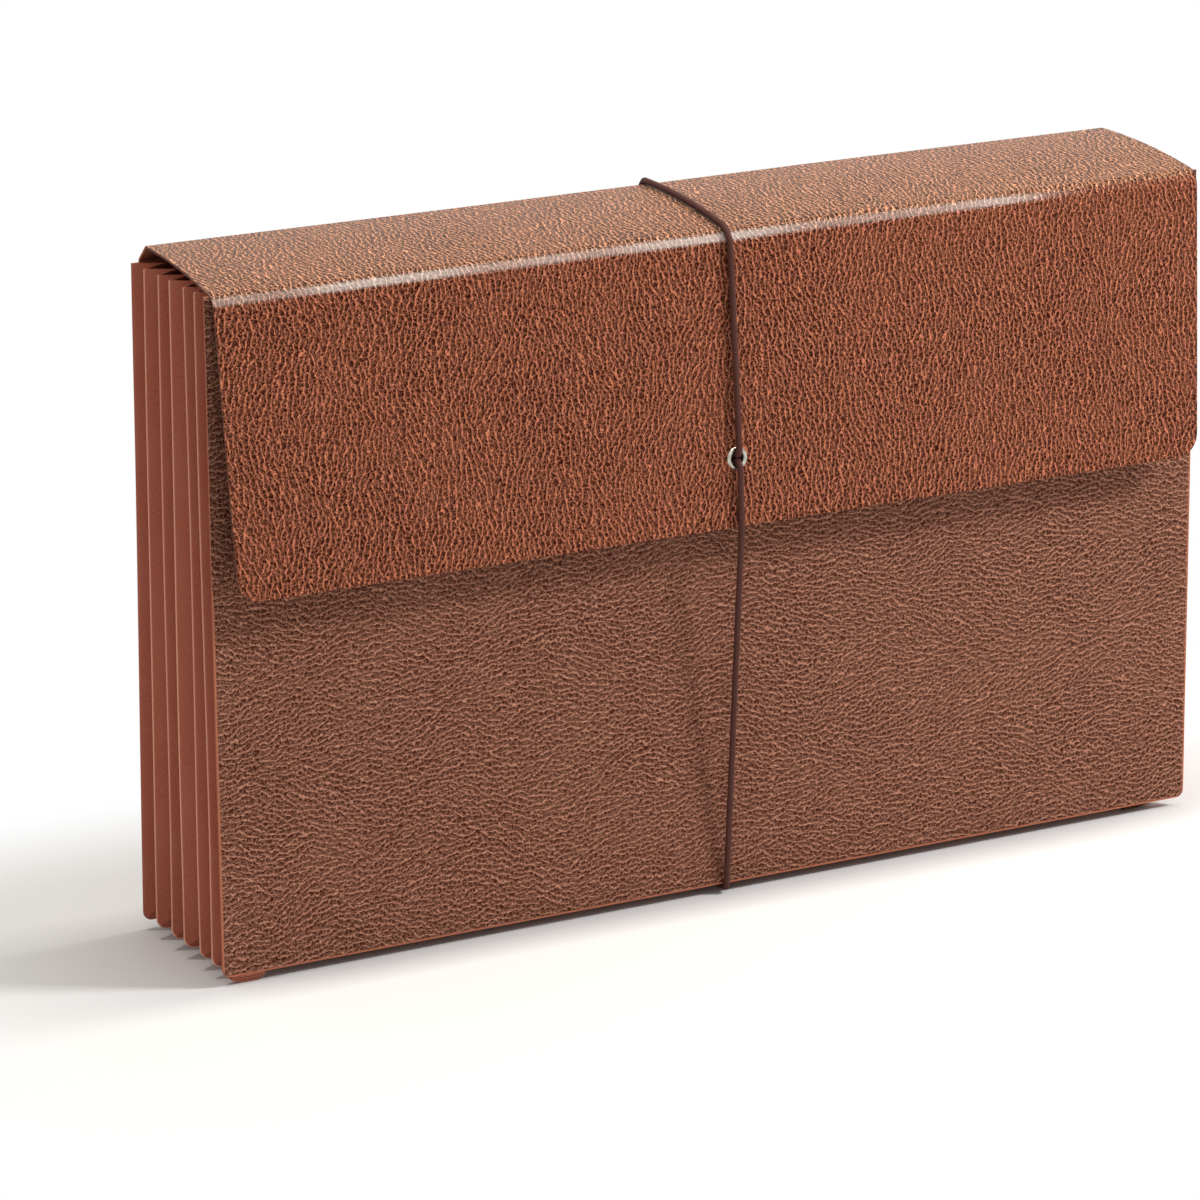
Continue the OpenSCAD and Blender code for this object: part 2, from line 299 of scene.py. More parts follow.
def make_mesh(name, points, faces, materials, face_materials, uv=None, values=None):
    """Object from points in millimetres, with a grain map in metres and values for its points."""
    mesh = bpy.data.meshes.new(name)
    mesh.from_pydata([tuple(p) for p in np.asarray(points) * MM], [], faces)
    for m in materials:
        mesh.materials.append(m)
    mesh.polygons.foreach_set("material_index", face_materials)
    if uv is not None:
        layer = mesh.uv_layers.new(name="grain")
        corner = np.zeros(len(mesh.loops), np.int32)
        mesh.loops.foreach_get("vertex_index", corner)
        layer.data.foreach_set("uv", (np.asarray(uv)[corner] * MM).astype(np.float32).ravel())
    for key, numbers in (values or {}).items():
        attribute = mesh.attributes.new(key, "FLOAT", "POINT")
        attribute.data.foreach_set("value", np.asarray(numbers, np.float32))
    mesh.polygons.foreach_set("use_smooth", [True] * len(mesh.polygons))
    mesh.validate()
    solid = bmesh.new()
    solid.from_mesh(mesh)
    bmesh.ops.recalc_face_normals(solid, faces=solid.faces)
    solid.to_mesh(mesh)
    solid.free()
    mesh.set_sharp_from_angle(angle=SHARP)
    piece = bpy.data.objects.new(name, mesh)
    bpy.context.scene.collection.objects.link(piece)
    return piece


def thick_grid(name, outer, inner, uv, values, materials):
    """Thin sheet between two grids of points: outer face, inner face and rim take the three materials."""
    rows, cols = outer.shape[:2]
    count = rows * cols
    at = np.arange(count).reshape(rows, cols)
    faces, kinds = [], []
    for r in range(rows - 1):
        for c in range(cols - 1):
            quad = [at[r, c], at[r, c + 1], at[r + 1, c + 1], at[r + 1, c]]
            faces.append([int(i) for i in quad])
            faces.append([int(i + count) for i in reversed(quad)])
            kinds += [0, 1]
    around = list(at[0, :-1]) + list(at[:-1, -1]) + list(at[-1, :0:-1]) + list(at[:0:-1, 0])
    for i, p in enumerate(around):
        q = around[(i + 1) % len(around)]
        faces.append([int(q), int(p), int(p + count), int(q + count)])
        kinds.append(2)
    points = np.concatenate([outer.reshape(-1, 3), inner.reshape(-1, 3)])
    both = {k: np.concatenate([v.ravel(), v.ravel()]) for k, v in values.items()}
    uv_both = np.concatenate([uv.reshape(-1, 2), uv.reshape(-1, 2)])
    return make_mesh(name, points, faces, materials, kinds, uv_both, both)


def rounded_half_width(full, distance, radius):
    """Half width of a sheet at a distance from an end with round corners."""
    if distance >= radius:
        return full / 2
    return full / 2 - radius + math.sqrt(radius * radius - (radius - distance) ** 2)


def per_row(value, rows):
    """Column of one number for each row, from a list or from one number for all."""
    return (np.asarray(value) * np.ones(rows))[:, None]


def board(name, outer_line, inner_line, half_widths, uv_start, edge_below, materials, sway,
          bend=0.0, kept_and_shaded=0.0):
    """Board along a section line, with its rows across the width.

    Its points carry their distance from an edge, with what keeps a row from wear and in painted shade added
    to it, and how strong a bend's painted highlight is there.
    """
    outer_line, inner_line = np.array(outer_line), np.array(inner_line)
    half_widths = np.array(half_widths)
    across = np.sort(np.concatenate([np.linspace(-1, 1, BOARD_COLUMNS), -EDGE_COLUMNS, EDGE_COLUMNS]))
    rows, cols = len(outer_line), len(across)
    run = (uv_start + run_along(outer_line))[:, None]
    x = half_widths[:, None] * across[None, :]
    wave = np.sin(x / WAVE_X[0] + run / WAVE_RUN[0])
    wave = wave * np.sin(run / WAVE_RUN[1] + x / WAVE_X[1] + WAVE_PHASE)
    shift = sway * wave * np.clip(np.abs(x) / CALM_W, 0, 1)
    out = outer_line - inner_line
    out = out / np.linalg.norm(out, axis=1)[:, None]
    grids = []
    for line in (outer_line, inner_line):
        y = line[:, 0][:, None] + shift * out[:, 0][:, None]
        z = line[:, 1][:, None] + shift * out[:, 1][:, None]
        grids.append(np.stack([x, spread(y, z), z], axis=2))
    uv = np.stack([x, np.repeat(run, cols, axis=1)], axis=2)
    # Distance from an edge, and more where the front's edges are kept unworn and in painted shade
    edge = np.minimum(half_widths.max() - np.abs(x), per_row(edge_below, rows)) + per_row(kept_and_shaded, rows)
    # The bend's painted highlight, weaker towards the right end
    painted_highlight = per_row(bend, rows) * np.clip((HIGHLIGHT_END - x) / HIGHLIGHT_FADE, HIGHLIGHT_LEAST, 1)
    return thick_grid(name, grids[0], grids[1], uv, {"edge_mm": edge, "bend": painted_highlight}, materials)


# Materials


class Nodes:
    """A node tree, filled one node at a time."""

    def __init__(self, tree):
        self.tree = tree

    def add(self, kind, settings=None, **inputs):
        """New node with its settings and its named inputs, where _ stands for a space."""
        node = self.tree.nodes.new("ShaderNode" + kind)
        for key, value in (settings or {}).items():
            setattr(node, key, value)
        for key, value in inputs.items():
            name = key.replace("_", " ")
            self.put(next(s for s in node.inputs if s.name == name and s.enabled), value)
        return node

    def put(self, target, value):
        """Links a socket to an input, or sets the input to a constant."""
        if isinstance(value, bpy.types.NodeSocket):
            self.tree.links.new(value, target)
        else:
            target.default_value = value

    def math(self, operation, a, b=0.0, c=0.0):
        node = self.add("Math", {"operation": operation})
        for target, value in zip(node.inputs, (a, b, c)):
            self.put(target, value)
        return node.outputs[0]

    def vector(self, operation, a, b=(0.0, 0.0, 0.0), output="Vector"):
        node = self.add("VectorMath", {"operation": operation})
        self.put(node.inputs[0], a)
        self.put(node.inputs[1], b)
        return node.outputs[output]

    def ramp(self, value, low, high, to_low=0.0, to_high=1.0):
        """Smooth step from one value to another between two limits."""
        node = self.add("MapRange", {"interpolation_type": "SMOOTHSTEP"}, Value=value)
        node.inputs["From Min"].default_value = low
        node.inputs["From Max"].default_value = high
        node.inputs["To Min"].default_value = to_low
        node.inputs["To Max"].default_value = to_high
        return node.outputs["Result"]

    def noise(self, vector, scale, detail=2.0, rough=0.5, dimensions="2D", output="Fac"):
        return self.add("TexNoise", {"noise_dimensions": dimensions}, Vector=vector, Scale=scale,
                        Detail=detail, Roughness=rough).outputs[output]

    def mix(self, share, a, b):
        """Colour between two others. The node's inputs 6 and 7 and its output 2 are colours."""
        node = self.add("Mix", {"data_type": "RGBA"})
        self.put(node.inputs[0], share)
        self.put(node.inputs[6], a)
        self.put(node.inputs[7], b)
        return node.outputs[2]

    def mix_shaders(self, share, a, b):
        node = self.add("MixShader")
        for target, value in zip(node.inputs, (share, a, b)):
            self.put(target, value)
        return node.outputs[0]


class Surface(Nodes):
    """A material round one principled shader."""

    def __init__(self, name):
        self.material = bpy.data.materials.new(name)
        self.material.use_nodes = True
        super().__init__(self.material.node_tree)
        self.bsdf = self.tree.nodes["Principled BSDF"]

    def grain_map(self):
        return self.add("UVMap", {"uv_map": "grain"}).outputs["UV"]

    def attribute(self, name):
        return self.add("Attribute", {"attribute_name": name}).outputs["Fac"]

    def bump(self, height, distance, strength=1.0):
        node = self.add("Bump", Height=height, Strength=strength, Distance=distance)
        self.put(self.bsdf.inputs["Normal"], node.outputs["Normal"])

    def finish(self, colour, roughness, **constants):
        self.put(self.bsdf.inputs["Base Color"], colour)
        self.put(self.bsdf.inputs["Roughness"], roughness)
        for key, value in constants.items():
            self.bsdf.inputs[key.replace("_", " ")].default_value = value
        return self.material


def colour(r, g, b):
    """Linear colour with full alpha from 0 to 255 display values."""
    def lin(v):
        v = v / 255
        return v / 12.92 if v <= 0.04045 else ((v + 0.055) / 1.055) ** 2.4
    return (lin(r), lin(g), lin(b), 1.0)


def leather(name, bearing, swing, dark, light, plate_tone, sheen, edge_band=False):
    """Embossed board in two tones: light wavy creases, joined by a weaker net, over dark plates.

    The waves lie at a bearing that drifts by a swing to either side. Each plate has painted shade in the
    trough beside its crease, a bend gets a pale painted highlight, and with an edge band the edges are worn
    bare.
    """
    s = Surface(name)
    uv = s.grain_map()
    bead = s.noise(uv, 1 / (BEAD * MM), 2.0, 0.65)
    grit = s.noise(uv, 1 / (GRIT * MM), 1.0)
    broad = s.noise(uv, 24.0)
    # Creases and the net
    shake = s.noise(uv, 1 / (SHAKE_L * MM), 3.0, 0.85, output="Color")
    shake = s.vector("MULTIPLY", s.vector("SUBTRACT", shake, (0.5, 0.5, 0.0)), (SHAKE * MM, SHAKE * MM, 0.0))
    moved = s.vector("ADD", uv, shake)
    turn = s.ramp(s.noise(uv, 1 / (DRIFT_L * MM)), 0.25, 0.75, bearing - swing, bearing + swing)
    kernel = 1.4 * GRAIN
    waves = s.add("TexGabor", {"gabor_type": "2D"}, Vector=moved, Scale=1 / (kernel * MM),
                  Frequency=kernel / GRAIN, Anisotropy=0.75, Orientation=turn).outputs["Phase"]
    cells = s.add("TexVoronoi", {"voronoi_dimensions": "2D", "feature": "DISTANCE_TO_EDGE"},
                  Vector=moved, Scale=1 / (GRAIN * MM)).outputs["Distance"]
    net = s.ramp(cells, 0.0, 0.13, 0.6, 0.0)
    from_crest = s.math("ABSOLUTE", s.math("SUBTRACT", waves, 0.5))
    crest = s.math("MAXIMUM", s.ramp(from_crest, 0.03, 0.2, 1.0, 0.0), net)
    crease = s.math("MULTIPLY", crest, s.ramp(bead, 0.3, 0.65, 0.5, 1.1))
    crease = s.math("MULTIPLY", crease, s.ramp(grit, 0.3, 0.7, 0.72, 1.12))
    # Plates, darkest in the trough on one side of a crease: painted shade beside each raised crease
    from_trough = s.math("ABSOLUTE", s.math("SUBTRACT", waves, 0.25))
    plate = s.math("ADD", s.ramp(bead, 0.3, 0.7, 0.0, plate_tone), s.ramp(broad, 0.3, 0.7, -0.03, 0.03))
    plate = s.math("MULTIPLY", plate, s.ramp(from_trough, 0.06, 0.21, 0.05, 1.0))
    plate = s.math("MULTIPLY", plate, s.ramp(grit, 0.3, 0.7, 0.55, 1.4))
    paint = s.mix(s.math("MAXIMUM", crease, plate), dark, light)
    height = s.math("MULTIPLY_ADD", bead, 0.5, crest)
    # Painted highlight on the bend, in patches along it
    highlight_share = s.ramp(s.math("MULTIPLY_ADD", crease, 0.3, s.attribute("bend")), 0.35, 1.25)
    patches = s.noise(s.vector("MULTIPLY", uv, (1.0, 0.2, 0.0)), 11.0)
    highlight_share = s.math("MULTIPLY", highlight_share, s.ramp(patches, 0.3, 0.6, 0.35, 1.0))
    highlight_share = s.math("MULTIPLY", highlight_share, s.ramp(crease, 0.0, 0.9, 0.55, 0.9))
    paint = s.mix(highlight_share, paint, colour(226, 211, 202))
    if edge_band:
        ragged = s.math("MULTIPLY_ADD", s.math("SUBTRACT", bead, 0.5), 0.5, s.attribute("edge_mm"))
        worn = s.ramp(ragged, 0.3, 0.85, 1.0, 0.0)
        paint = s.mix(s.math("MULTIPLY", worn, 0.9), paint, colour(186, 114, 84))
        height = s.math("MULTIPLY", height, s.math("SUBTRACT", 1.0, worn))
    s.bump(height, EMBOSS * MM)
    rough = s.math("MULTIPLY_ADD", bead, 0.16, 0.3)
    return s.finish(paint, rough, Specular_IOR_Level=0.05, Sheen_Weight=sheen, Sheen_Roughness=0.4)


def gusset_paper():
    """Smooth red-brown paper, lighter along its outer folds."""
    s = Surface("gusset_paper")
    uv = s.grain_map()
    fibre = s.noise(s.vector("MULTIPLY", uv, (1.0, 0.35, 0.0)), 2600.0, 3.0, 0.6)
    cloud = s.noise(uv, 45.0, 3.0)
    paint = s.mix(s.ramp(fibre, 0.3, 0.7), colour(158, 85, 64), colour(178, 99, 76))
    paint = s.mix(s.ramp(cloud, 0.35, 0.7, 0.0, 0.35), paint, colour(176, 104, 83))
    ragged = s.math("MULTIPLY_ADD", s.math("SUBTRACT", fibre, 0.5), 0.2, s.attribute("fold_mm"))
    paint = s.mix(s.ramp(ragged, 0.06, 0.4, 1.0, 0.0), paint, colour(230, 168, 142))
    s.bump(fibre, 0.03 * MM, 0.5)
    return s.finish(paint, s.math("MULTIPLY_ADD", fibre, 0.18, 0.62), Specular_IOR_Level=0.3)


def raw_paper(name, light, dark):
    """Uncoated board as it shows on cut edges and inside faces."""
    s = Surface(name)
    where = s.add("TexCoord").outputs["Object"]
    fibre = s.noise(where, 2200.0, 3.0, 0.6, "3D")
    cloud = s.noise(where, 60.0, 2.0, 0.5, "3D")
    paint = s.mix(s.ramp(fibre, 0.3, 0.7), dark, light)
    paint = s.mix(s.ramp(cloud, 0.4, 0.7, 0.0, 0.25), paint, dark)
    s.bump(fibre, 0.04 * MM, 0.5)
    return s.finish(paint, s.math("MULTIPLY_ADD", fibre, 0.2, 0.66), Specular_IOR_Level=0.25)


def nickel():
    """Plated metal with smudges and fine scratches."""
    s = Surface("nickel")
    where = s.add("TexCoord").outputs["Object"]
    smudge = s.noise(where, 700.0, 3.0, 0.6, "3D")
    scratch = s.noise(s.vector("MULTIPLY", where, (1.0, 6.0, 0.6)), 3000.0, 2.0, 0.5, "3D")
    paint = s.mix(s.ramp(smudge, 0.3, 0.75), colour(206, 200, 188), colour(168, 161, 148))
    s.bump(scratch, 0.01 * MM, 0.4)
    return s.finish(paint, s.math("MULTIPLY_ADD", smudge, 0.16, 0.16), Metallic=1.0)


def braid():
    """Woven cover of the elastic: strands that cross in both directions round the cord."""
    s = Surface("elastic_braid")
    uv = s.grain_map()
    parts = s.add("SeparateXYZ", Vector=uv)
    turn = s.math("MULTIPLY", parts.outputs["X"], 2 * math.pi * STRANDS / MM)
    along = s.math("MULTIPLY", parts.outputs["Y"], 2 * math.pi / (BRAID_PITCH * MM))
    one = s.math("SINE", s.math("ADD", turn, along))
    two = s.math("SINE", s.math("SUBTRACT", turn, along))
    weave = s.math("MAXIMUM", one, two)
    lint = s.noise(uv, 5200.0, 2.0, 0.6)
    tone = s.math("MULTIPLY_ADD", lint, 0.25, s.ramp(weave, -0.4, 1.0, 0.0, 0.75))
    paint = s.mix(tone, colour(34, 15, 11), colour(98, 56, 47))
    s.bump(s.math("ADD", weave, lint), 0.05 * MM, 0.7)
    return s.finish(paint, s.math("MULTIPLY_ADD", lint, 0.2, 0.5), Specular_IOR_Level=0.2)


flap_leather = leather("leather_flap", bearing=0.0, swing=0.28, dark=colour(48, 8, 0),
                       light=colour(228, 139, 102), plate_tone=0.21, sheen=0.06)
# The top gets a lighter copy of the flap's leather with more sheen: painted light, where more light falls on
# it
lit_top_leather = leather("leather_top_lit", bearing=0.0, swing=0.28, dark=colour(30, 7, 0),
                      light=colour(253, 176, 132), plate_tone=0.22, sheen=0.2)
front_leather = leather("leather_front", bearing=math.pi / 2, swing=0.34, dark=colour(67, 25, 9),
                        light=colour(212, 150, 122), plate_tone=0.28, sheen=0.08, edge_band=True)
paper = gusset_paper()
edge_paper = raw_paper("cut_edge", light=colour(184, 112, 84), dark=colour(150, 85, 62))
tuck_paper = raw_paper("tuck_paper", light=colour(172, 104, 80), dark=colour(138, 78, 58))
lining = raw_paper("lining", light=colour(150, 88, 66), dark=colour(122, 68, 50))
# A darker copy of the cut edge's paper: painted shade, used on the flap's rim and on the tucks in the
# boards' shade
shaded_edge_paper = raw_paper("shaded_edge_paper", light=colour(120, 74, 56), dark=colour(92, 56, 44))
metal = nickel()
elastic = braid()


# Back, front and flap


def low_rows(radius):
    """Heights above an end with round corners, close together round them."""
    return [radius * (1 - math.cos(math.radians(a))) for a in range(0, 91, 10)]


def top_cut(below):
    """How far the back board is cut in on each side, that far below the gusset's top."""
    share = min(1.0, below / BACK_CUT_H)
    return BACK_CUT * (1 - share) ** 2


def make_back():
    """Back board, and the strip that leans in above it up to the back crease."""
    heights = low_rows(PANEL_CORNER_R)
    heights += list(np.linspace(PLAIN_FROM, PANEL_H - PLAIN_TO, BACK_ROWS))
    heights += [PANEL_H - d for d in CUT_ROWS]
    outer = [np.array([BACK_Y, PANEL_Z + h]) for h in heights]
    inner = [np.array([BACK_Y - BOARD_T, PANEL_Z + h]) for h in heights]
    full = BODY_W - 2 * BACK_SETBACK
    widths = [rounded_half_width(full, h, PANEL_CORNER_R) - top_cut(PANEL_H - h) for h in heights]
    outer += [lean_start, back_crease]
    inner += [inner_corner(lean_start, 0, lean_a), inner_crease]
    widths += [full / 2 - top_cut(0), CREASE_W / 2]
    below = heights + [BODY_W, BODY_W]
    piece = board("back_sheet", outer, inner, widths, -PANEL_H, below,
                  [flap_leather, lining, edge_paper], SWAY)
    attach(piece, "back")
    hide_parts("back_panel")


def make_front():
    """Front board, whose edges are worn below the flap and kept unworn under it, partly as painted shade
    from the flap.
    """
    heights = low_rows(PANEL_CORNER_R) + list(np.linspace(PLAIN_FROM, PANEL_H, FRONT_ROWS))
    outer = [np.array([FRONT_Y, PANEL_Z + h]) for h in heights]
    inner = [np.array([FRONT_Y + BOARD_T, PANEL_Z + h]) for h in heights]
    widths = [rounded_half_width(BODY_W, h, PANEL_CORNER_R) for h in heights]
    # Under the flap the edges keep no worn band: partly kept from wear, partly painted shade from the flap
    under_flap = np.clip((np.array(heights) + PANEL_Z - flap_end[1]) / KEPT_AND_SHADED_FADE, 0, 1)
    piece = board("front_sheet", outer, inner, widths, 0.0, heights,
                  [front_leather, lining, edge_paper], FRONT_SWAY, kept_and_shaded=KEPT_AND_SHADED * under_flap)
    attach(piece, "front")
    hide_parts("front_panel")


def make_flap():
    """Top and flap in one sheet, from the back crease over the front bend to the flap's end."""
    outer = arc(crown_c, CROWN_R, crown_back_a, crown_front_a, CROWN_STEPS)
    inner = arc(crown_c, CROWN_R - BOARD_T, angle_of(inner_crease - crown_c), crown_front_a, CROWN_STEPS)
    outer += arc(bend_c, BEND_R, crown_front_a, flap_a, BEND_STEPS)[1:]
    inner += arc(bend_c, BEND_R - BOARD_T, crown_front_a, flap_a, BEND_STEPS)[1:]
    widths = list(np.linspace(CREASE_W / 2, TOP_W / 2, CROWN_STEPS + 1)) + [TOP_W / 2] * BEND_STEPS
    below = [BODY_W] * len(outer)
    # How strong the painted highlight is on each step of the front bend
    bend = [0.0] * CROWN_STEPS
    for i in range(BEND_STEPS + 1):
        coming = (i - HIGHLIGHT_IN[0]) / (HIGHLIGHT_IN[1] - HIGHLIGHT_IN[0])
        going = (HIGHLIGHT_OUT[1] - i) / (HIGHLIGHT_OUT[1] - HIGHLIGHT_OUT[0])
        bend.append(max(0.0, min(1.0, coming, going)))
    drops = list(np.linspace(0, FLAP_L - FLAP_PLAIN_TO, FLAP_ROWS))[1:]
    drops += [FLAP_L - h for h in reversed(low_rows(FLAP_CORNER_R))]
    for d in drops:
        outer.append(flap_start + d * flap_down)
        inner.append(flap_start + d * flap_down - BOARD_T * flap_out)
        full = max(TOP_W - 2 * FLAP_TAPER * d / (FLAP_L - FLAP_CORNER_R), TOP_W - 2 * FLAP_TAPER)
        widths.append(rounded_half_width(full, FLAP_L - d, FLAP_CORNER_R))
        below.append(FLAP_L - d)
        bend.append(0.0)
    # The flap's rim takes the darker copy of the edge paper: painted shade
    piece = board("flap_sheet", outer, inner, widths, 0.0, below,
                  [flap_leather, lining, shaded_edge_paper], SWAY, bend)
    paint_top(piece)
    pierce(piece)
    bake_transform(piece)
    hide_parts("top_panel", "flap_panel")


def paint_top(piece):
    """Gives the sheet's outer face the top's lighter leather, painted light, from the back crease to the
    middle of the bend.
    """
    piece.data.materials.append(lit_top_leather)
    top_index = len(piece.data.materials) - 1
    middle = toward((crown_front_a + flap_a) / 2)
    for face in piece.data.polygons:
        off = np.array(face.center)[1:] / MM - bend_c
        if face.material_index == 0 and middle[0] * off[1] < middle[1] * off[0]:
            face.material_index = top_index


def pierce(piece):
    """Cuts the eyelet's hole through the flap."""
    bpy.ops.mesh.primitive_cylinder_add(vertices=40, radius=HOLE_R * MM, depth=12 * MM)
    cutter = bpy.context.object
    at = off_flap(0, eyelet_below) * MM
    turn = Matrix.Rotation(math.radians(90 - flap_tilt), 4, "X")
    cutter.matrix_world = Matrix.Translation((0, at[0], at[1])) @ turn
    hole = piece.modifiers.new("hole", "BOOLEAN")
    hole.object = cutter
    hole.solver = "EXACT"
    bpy.context.view_layer.objects.active = piece
    bpy.ops.object.modifier_apply(modifier=hole.name)
    cutter_mesh = cutter.data
    bpy.data.objects.remove(cutter)
    bpy.data.meshes.remove(cutter_mesh)


make_back()
make_front()
make_flap()


# Gusset: each piece is an outer fold with the panel on either side of it


def fold_axes(side):
    """Fold axes of one run, as (in from the outer folds, y) from back to front."""
    first = {"left": "pleat_fold", "right": "right_fold_1", "bottom": "bottom_fold_1"}[side]
    names = [first] + [f"{side}_fold_{j}" for j in range(2, 2 * PLEATS + 1)]
    places = [np.array(joints[n]["pos_m"]) / MM for n in names]
    across = {"left": lambda p: p[0], "right": lambda p: -p[0], "bottom": lambda p: p[2]}[side]
    axes = [(across(p) - across(places[0]), p[1]) for p in places]
    last = np.array(joints["left_fold_13"]["pos_m"]) / MM
    return axes + [(0.0, last[1])]


SIDE_X = -joints["pleat_fold"]["pos_m"][0] / MM
BASE_Z = joints["bottom_fold_1"]["pos_m"][2] / MM


def corner_in(h):
    """How far the rounded corner of a pleat stands in at that distance from its end."""
    r = PLEAT_CORNER_R
    return 0.0 if h >= r else r - math.sqrt(r * r - (r - h) ** 2)


def run_places(side):
    """Distances along a pleat, close together near its mitred ends, and the length that they belong to.

    The first lies just past the point where two runs meet on the round corner.
    """
    near = [PLEAT_CORNER_R * (1 - math.sqrt(0.5)) + 0.02] + MITRE_ROWS
    if side == "bottom":
        length = 2 * SIDE_X
        half = near + list(np.linspace(PLEAT_PLAIN_FROM, length / 2 - CORD_SPACE, BOTTOM_ROWS))
        at_cord = [length / 2 + d for d in CORD_ROWS]
        return half + at_cord + [length - h for h in reversed(half)], length
    top = GUSSET_Z - BASE_Z
    return near + list(np.linspace(PLEAT_PLAIN_FROM, top, SIDE_ROWS)), 2 * top + FLANGE_W


def ends_open(side, k):
    """Whether a fold is the last of a run that isn't joined to the front."""
    return k == PLEATS and side != "left"


def gusset_piece(side, k):
    """A run's outer fold number k from the back, with the panel behind it and the one ahead."""
    axes = fold_axes(side)
    tip_y = axes[2 * k][1]
    behind = axes[2 * k - 1] if k > 0 else (FLANGE_W, tip_y)
    if ends_open(side, k):
        tip_y += OPEN_GAP
        ahead = (2 * PAPER_T, tip_y + PAPER_T / 2)
    elif k == PLEATS:
        ahead = (FLANGE_W / 4, tip_y + PAPER_T / 2)
    else:
        ahead = axes[2 * k + 1]
    places, length = run_places(side)
    columns = [(behind, t) for t in reversed(PANEL_COLUMNS)] + [(None, 0.0)]
    columns += [(ahead, t) for t in PANEL_COLUMNS]
    middle = np.zeros((len(places), len(columns), 2))
    fold = np.zeros((len(places), len(columns)))
    for r, place in enumerate(places):
        h = min(place, length - place)
        start = corner_in(h)
        if side == "bottom":
            start += CORD_DENT * math.exp(-((place - length / 2) / DENT_W) ** 2)
        calm = 0.0 if k == PLEATS else min(1.0, h / CALM_END)
        wander = calm * WANDER * np.sin(place / WANDER_L + WANDER_PHASE * k + len(side))
        for c, (end, t) in enumerate(columns):
            if end is None:
                middle[r, c] = np.array([start, tip_y]) + wander
                continue
            stop = max(start, min(end[0], h))
            w = start + t * (stop - start)
            y = tip_y + (end[1] - tip_y) * w / end[0]
            middle[r, c] = np.array([w, y]) + wander * (1 - t)
            fold[r, c] = w - start
    if k == 0:
        fold += PAST_FOLD_LINE
    normal = left_normals(middle)
    where = np.array(places)[:, None] + 0 * fold
    grids = []
    for offset in (PAPER_T / 2, -PAPER_T / 2):
        p = middle + offset * normal
        if side == "bottom":
            x, z = where - SIDE_X, BASE_Z + p[:, :, 0]
        else:
            x, z = p[:, :, 0] - SIDE_X, BASE_Z + where
            x = x if side == "left" else -x
        grids.append(np.stack([x, spread(p[:, :, 1], z), z], axis=2))
    across = np.stack([run_along(row) for row in middle])
    uv = np.stack([across + PAPER_SHIFT * k, where], axis=2)
    piece = thick_grid(f"{side}_gusset_{k}", grids[0], grids[1], uv, {"fold_mm": fold},
                       [paper, paper, edge_paper])
    hang(piece, side, k)


def hang(piece, side, k):
    """Hides the solids a gusset piece stands for, and hangs it on one panel's body if its run ends open
    there, else keeps it where it stands.
    """
    nodes = [f"{side}_pleat_{j}" for j in (2 * k, 2 * k + 1) if 1 <= j <= 2 * PLEATS]
    if k == 0:
        nodes.append("back_flange")
    if ends_open(side, k):
        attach(piece, f"{side}_{2 * k}")
        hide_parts(*nodes)
        return
    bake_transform(piece)
    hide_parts(*nodes)


for run_side in ("left", "right", "bottom"):
    for fold_number in range(PLEATS + 1):
        gusset_piece(run_side, fold_number)


def folded_tuck(name, body, side, y, inset, material, node):
    """Gusset corner folded under a panel: one strip of paper laid over itself, an inset from the corner."""
    def layer(level, first, last, count):
        return [np.array([x, level]) for x in np.linspace(first, last, count)]

    levels = [TUCK_H - TUCK_T / 2, TUCK_H / 2, TUCK_T / 2]
    far = BODY_W / 2 - PANEL_CORNER_R - inset
    near = far - TUCK_L
    turn = (levels[0] - levels[1]) / 2
    near_turn = near + turn + TUCK_T / 2
    far_turn = far - 2 * turn
    line = layer(levels[0], far, near_turn, 8)
    line += arc(np.array([near_turn, levels[0] - turn]), turn, 90, 270, 8)[1:]
    line += layer(levels[1], near + 3, far_turn, 7)
    line += arc(np.array([far_turn, levels[1] - turn]), turn, 90, -90, 8)[1:]
    line += layer(levels[2], far - 4, near + 1.5, 7)
    line = np.array(line)
    normal = left_normals(line)
    grids = []
    depths = np.linspace(0.1, TUCK_D - 0.1, TUCK_ROWS)[:, None]
    for offset in (TUCK_T / 2, -TUCK_T / 2):
        p = line + offset * normal
        x = side * np.repeat(p[None, :, 0], TUCK_ROWS, axis=0)
        z = np.repeat(p[None, :, 1], TUCK_ROWS, axis=0)
        tip = np.clip((far - np.abs(x)) / TUCK_TAPER, 0, 1)
        z = TUCK_H - (TUCK_H - z) * (0.5 + 0.5 * np.sin(tip * math.pi / 2))
        under = np.clip(1 - z / levels[0], 0, 1)
        rows = y + depths * (1 - TUCK_STEP / TUCK_D * under) + TUCK_STEP * under
        grids.append(np.stack([x, spread(rows, z), np.clip(z, 0, TUCK_H)], axis=2))
    run = np.repeat(run_along(line)[None, :], TUCK_ROWS, axis=0)
    uv = np.stack([depths + 0 * run, run], axis=2)
    piece = thick_grid(name, grids[0], grids[1], uv, {}, [material] * 3)
    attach(piece, body)
    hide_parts(node)


folded_tuck("front_tuck_left", "front", -1, FRONT_Y, 0.0, tuck_paper, "front_corner_tucks")
# The tucks that lie further in take the darker copy of the edge paper: painted shade under the boards
folded_tuck("front_tuck_right", "front", 1, FRONT_Y + TUCK_BACK, TUCK_IN, shaded_edge_paper, "front_corner_tucks")
folded_tuck("back_tuck_left", "back", -1, BACK_Y - TUCK_D, TUCK_IN, shaded_edge_paper, "back_corner_tucks")
folded_tuck("back_tuck_right", "back", 1, BACK_Y - TUCK_D, TUCK_IN, shaded_edge_paper, "back_corner_tucks")

# The front flange is shown as its solid, in the lining's paper
flange = frame["nodes"]["front_flange"]
flange.data.materials.clear()
flange.data.materials.append(lining)


# Closure


